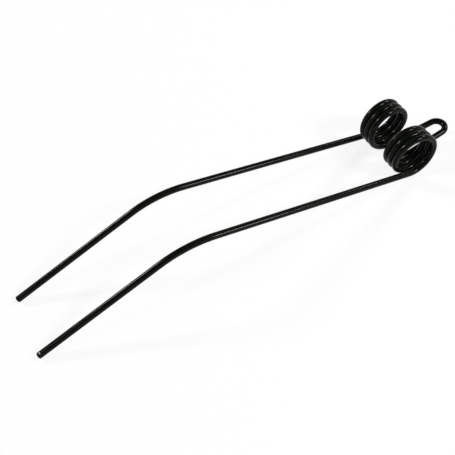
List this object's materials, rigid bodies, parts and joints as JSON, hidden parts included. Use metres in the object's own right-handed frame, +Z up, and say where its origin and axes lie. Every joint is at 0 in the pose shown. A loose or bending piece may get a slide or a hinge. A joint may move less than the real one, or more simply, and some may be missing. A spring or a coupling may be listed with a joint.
{
  "type": "rotary rake tine",
  "caption": "Spring tine of round black wire for a rotary rake: parallel bent arms, wound coils, and a long eye between them that a bolt and clamp plate hold.",
  "frame": {"origin": "centre of the eye's round end, where the bolt passes; the tine lies as it comes to rest, on its coils and tips, so the floor is 13.4 mm below the origin", "axes": "+X from the tips along the arms to the eye, +Y across from one arm to the other, +Z up from the floor that it lies on"},
  "size_m": [0.6491, 0.1004, 0.0814],
  "materials": {
    "wire": "semi-gloss black paint over spring-steel wire"
  },
  "bodies": {
    "root": {"double_spring_tine": "wire"}
  },
  "joints": []
}
